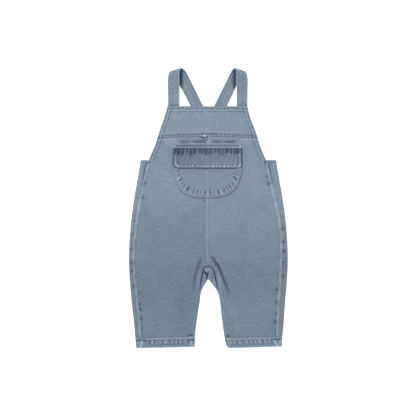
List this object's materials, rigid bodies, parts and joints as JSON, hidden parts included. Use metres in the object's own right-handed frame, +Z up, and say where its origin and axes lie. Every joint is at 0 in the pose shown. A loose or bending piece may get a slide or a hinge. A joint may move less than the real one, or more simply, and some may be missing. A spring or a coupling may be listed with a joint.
{
  "type": "infant's denim dungarees (overalls), laid flat",
  "caption": "Infant's light-wash denim dungarees laid flat, front up, with a U-shaped patch pocket under a stitched flap and straps folded over above the bib.",
  "frame": {"origin": "middle of the bounding box in plan, on the surface the garment lies on", "axes": "+X to the right as seen from above, +Y up the garment from the leg hems to the straps, +Z up from the surface, out of the garment's front"},
  "size_m": [0.2784, 0.4904, 0.011],
  "materials": {
    "body_denim": "matte washed twill",
    "bib_denim": "matte washed twill",
    "pocket_denim": "matte washed twill",
    "flap_denim": "matte washed twill",
    "back_denim": "matte washed twill",
    "strap_denim": "matte washed twill"
  },
  "bodies": {
    "root": {"left_front": "body_denim", "right_front": "body_denim", "left_back": "back_denim", "right_back": "back_denim", "bib": "bib_denim", "pocket": "pocket_denim", "pocket_flap": "flap_denim", "left_strap": "strap_denim", "right_strap": "strap_denim"}
  },
  "joints": []
}
